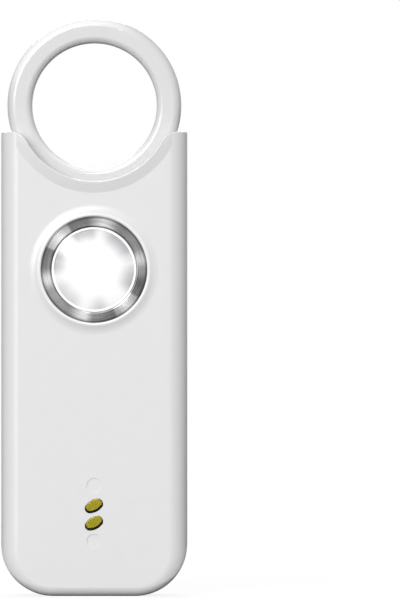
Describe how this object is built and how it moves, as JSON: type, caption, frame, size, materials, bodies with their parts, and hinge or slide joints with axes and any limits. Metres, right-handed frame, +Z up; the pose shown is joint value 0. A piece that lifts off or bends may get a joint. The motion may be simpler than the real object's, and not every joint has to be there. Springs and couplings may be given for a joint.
{
  "type": "personal safety alarm",
  "caption": "Slim pocket safety alarm with a round pull ring in its scooped top, a lit push button in a metal bezel, charging contacts and a siren behind a grille.",
  "frame": {"origin": "middle of the flat base, on the plane where the front and rear shells meet", "axes": "+Z up, from the base to the pull ring; +Y to the back, so the light and contacts face -Y; +X to the right seen from the front"},
  "size_m": [0.035, 0.0147, 0.1084],
  "materials": {
    "shell_white": "fine satin moulding",
    "ring_white": "fine satin moulding",
    "bezel_metal": "spun, with circular brushing",
    "collar_white": "gloss",
    "lens_plastic": "clear, frosted behind",
    "switch_black": "matte",
    "plunger_plastic": "satin",
    "reflector_chrome": "mirror",
    "chip_yellow": "gloss",
    "spring_steel": "bright",
    "screw_steel": "zinc plated",
    "contact_gold": "gold plated, polished",
    "carrier_black": "satin",
    "magnet_nickel": "nickel plated",
    "board_green": "solder mask",
    "cell_foil": "foil pouch",
    "guard_tape": "polyimide tape over a small board",
    "pad_foam": "foam",
    "lead_red": "soft insulation",
    "lead_black": "soft insulation",
    "disc_brass": "rolled",
    "siren_white": "fired ceramic, silvered",
    "gasket_rubber": "closed-cell foam",
    "ferrite_grey": "sintered",
    "copper_wire": "enamelled",
    "chip_black": "moulded",
    "parts_tan": "fired"
  },
  "bodies": {
    "housing": {"front_shell": "shell_white", "rear_shell": "shell_white", "shell_screws": "screw_steel", "bezel": "bezel_metal", "light_switch": "switch_black", "reflector": "reflector_chrome", "light_chip": "chip_yellow", "retaining_clip": "spring_steel", "trigger_switch": "switch_black", "charge_contact_upper": "contact_gold", "charge_contact_lower": "contact_gold", "contact_carrier": "carrier_black", "charge_magnet_upper": "magnet_nickel", "charge_magnet_lower": "magnet_nickel", "main_board": "board_green", "battery_cell": "cell_foil", "cell_guard_board": "guard_tape", "cell_pad": "pad_foam", "cell_lead_red": "lead_red", "cell_lead_black": "lead_black", "siren_disc": "disc_brass", "siren_ceramic": "siren_white", "siren_gasket": "gasket_rubber", "siren_lead_disc": "lead_red", "siren_lead_ceramic": "lead_black", "coil_core": "ferrite_grey", "coil_winding": "copper_wire", "controller_chip": "chip_black", "surface_parts": "parts_tan"},
    "ring": {"pull_ring": "ring_white"},
    "button": {"button_collar": "collar_white", "button_lens": "lens_plastic", "light_switch_plunger": "plunger_plastic"},
    "trigger": {"trigger_plunger": "plunger_plastic"}
  },
  "joints": [
    {"name": "ring_pull", "type": "slide", "parent": "housing", "child": "ring", "axis": [0, 0, 1], "range_m": [0, 0.028]},
    {"name": "light_press", "type": "slide", "parent": "housing", "child": "button", "axis": [0, 1, 0], "range_m": [0, 0.00035], "stiffness_N_per_m": 4000},
    {"name": "trigger_release", "type": "slide", "parent": "housing", "child": "trigger", "axis": [-1, 0, 0], "range_m": [0, 0.00112]}
  ],
  "couplings": [
    {"joint": "trigger_release", "follows": "ring_pull", "ratio": 0.04}
  ]
}
